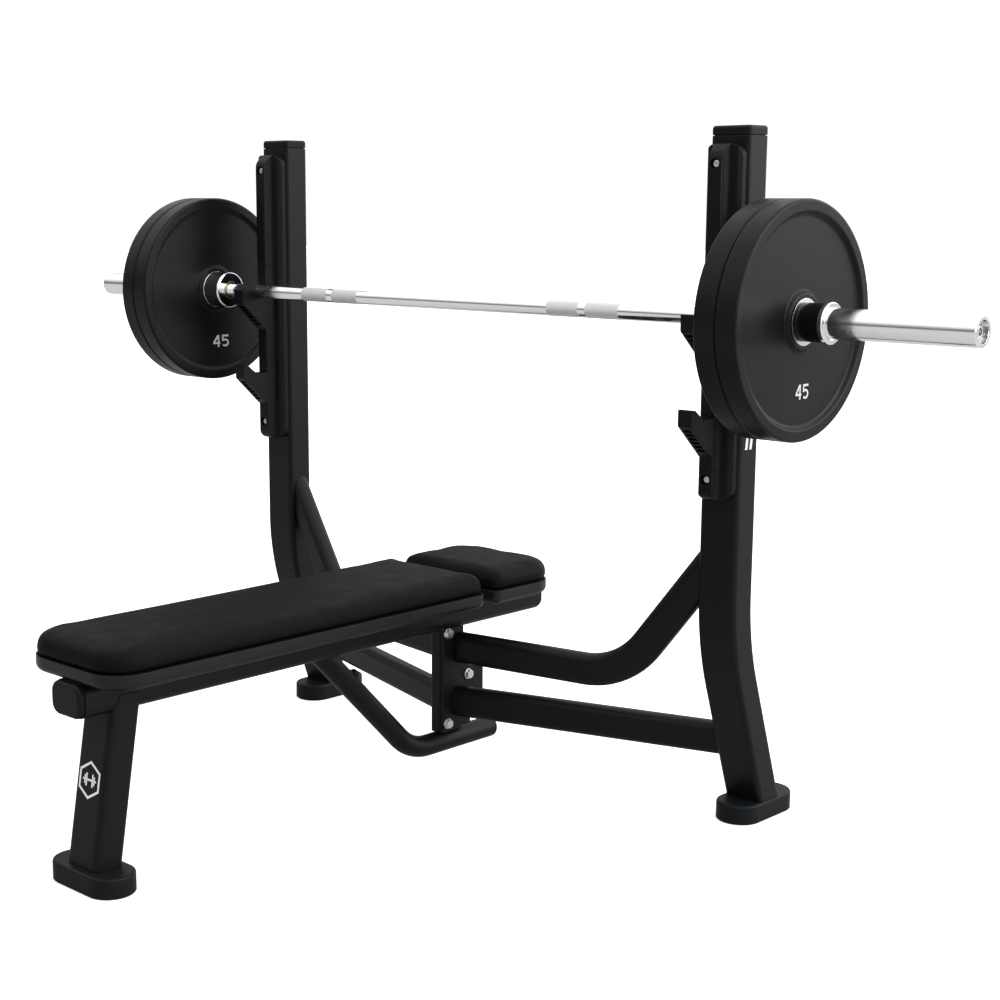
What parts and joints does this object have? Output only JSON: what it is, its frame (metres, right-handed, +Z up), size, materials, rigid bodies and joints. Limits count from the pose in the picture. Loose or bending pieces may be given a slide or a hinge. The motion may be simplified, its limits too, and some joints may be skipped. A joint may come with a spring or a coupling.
{
  "type": "olympic bench press",
  "caption": "Flat bench press station with upright hook guards, padded bench on a braced steel frame and a loaded barbell with spinning sleeves.",
  "frame": {"origin": "centre of the footprint box, on the floor", "axes": "+X along the barbell, +Y from the foot end of the bench towards the uprights, +Z up"},
  "size_m": [2.2, 1.2074, 1.252],
  "materials": {
    "frame_paint": "satin textured powder coat, near black",
    "guard_plastic": "moulded dark grey, fine texture",
    "foot_rubber": "moulded dark grey rubber",
    "cap_plastic": "moulded dark grey",
    "cushion_cover": "black vinyl upholstery, matt grain",
    "board_wood": "plywood, hidden",
    "tray_plastic": "moulded dark grey, satin",
    "bar_chrome": "bright chrome",
    "bushing_bronze": "plain bearing bronze",
    "plate_rubber": "black rubber coat, satin",
    "plate_core": "steel core, polished at the hub",
    "collar_body": "black anodised",
    "collar_trim": "bright chrome",
    "fastener": "zinc plated steel"
  },
  "bodies": {
    "frame": {"left_upright": "frame_paint", "left_upright_cap": "cap_plastic", "left_rear_foot": "foot_rubber", "left_guard_top": "guard_plastic", "left_upper_hook": "guard_plastic", "left_lower_hook": "guard_plastic", "left_guard_end_cap": "guard_plastic", "left_joint_plate": "frame_paint", "left_lower_cross_tube": "frame_paint", "left_upper_cross_tube": "frame_paint", "right_upright": "frame_paint", "right_upright_cap": "cap_plastic", "right_rear_foot": "foot_rubber", "right_guard_top": "guard_plastic", "right_upper_hook": "guard_plastic", "right_lower_hook": "guard_plastic", "right_guard_end_cap": "guard_plastic", "right_joint_plate": "frame_paint", "right_lower_cross_tube": "frame_paint", "right_upper_cross_tube": "frame_paint", "front_foot": "foot_rubber", "guard_screws": "fastener", "bench_main_beam": "frame_paint", "bench_front_cap": "cap_plastic", "bench_rear_cap": "cap_plastic", "front_leg": "frame_paint", "rear_brace_tube": "frame_paint", "rear_brace_cap": "cap_plastic", "brace_bumper": "foot_rubber", "centre_post": "frame_paint", "joint_bolts": "fastener", "joint_nuts": "fastener", "main_pad_cushion": "cushion_cover", "head_pad_cushion": "cushion_cover", "main_pad_tray": "tray_plastic", "head_pad_tray": "tray_plastic", "main_pad_board": "board_wood", "head_pad_board": "board_wood", "pad_fixing_washers": "fastener"},
    "barbell": {"bar_shaft": "bar_chrome", "left_end_bolt": "fastener", "right_end_bolt": "fastener"},
    "left_sleeve": {"left_sleeve": "bar_chrome", "left_sleeve_bushings": "bushing_bronze"},
    "left_inner_plate": {"left_inner_plate": "plate_rubber", "left_inner_plate_core": "plate_core"},
    "left_outer_plate": {"left_outer_plate": "plate_rubber", "left_outer_plate_core": "plate_core"},
    "left_collar": {"left_collar": "collar_body", "left_collar_ring": "collar_trim"},
    "right_sleeve": {"right_sleeve": "bar_chrome", "right_sleeve_bushings": "bushing_bronze"},
    "right_inner_plate": {"right_inner_plate": "plate_rubber", "right_inner_plate_core": "plate_core"},
    "right_outer_plate": {"right_outer_plate": "plate_rubber", "right_outer_plate_core": "plate_core"},
    "right_collar": {"right_collar": "collar_body", "right_collar_ring": "collar_trim"}
  },
  "joints": [
    {"name": "bar_lift", "type": "slide", "parent": "frame", "child": "barbell", "axis": [0, -0.5, 0.866], "range_m": [0, 0.35]},
    {"name": "left_sleeve_spin", "type": "hinge", "parent": "barbell", "child": "left_sleeve", "pos_m": [-0.9, 0.30525, 0.9346], "axis": [1, 0, 0], "continuous": true},
    {"name": "right_sleeve_spin", "type": "hinge", "parent": "barbell", "child": "right_sleeve", "pos_m": [0.9, 0.30525, 0.9346], "axis": [1, 0, 0], "continuous": true},
    {"name": "left_inner_plate_slide", "type": "slide", "parent": "left_sleeve", "child": "left_inner_plate", "axis": [-1, 0, 0], "range_m": [0, 0.45]},
    {"name": "left_outer_plate_slide", "type": "slide", "parent": "left_inner_plate", "child": "left_outer_plate", "axis": [-1, 0, 0], "range_m": [0, 0.4]},
    {"name": "left_collar_slide", "type": "slide", "parent": "left_outer_plate", "child": "left_collar", "axis": [-1, 0, 0], "range_m": [0, 0.32]},
    {"name": "right_inner_plate_slide", "type": "slide", "parent": "right_sleeve", "child": "right_inner_plate", "axis": [1, 0, 0], "range_m": [0, 0.45]},
    {"name": "right_outer_plate_slide", "type": "slide", "parent": "right_inner_plate", "child": "right_outer_plate", "axis": [1, 0, 0], "range_m": [0, 0.4]},
    {"name": "right_collar_slide", "type": "slide", "parent": "right_outer_plate", "child": "right_collar", "axis": [1, 0, 0], "range_m": [0, 0.32]}
  ]
}
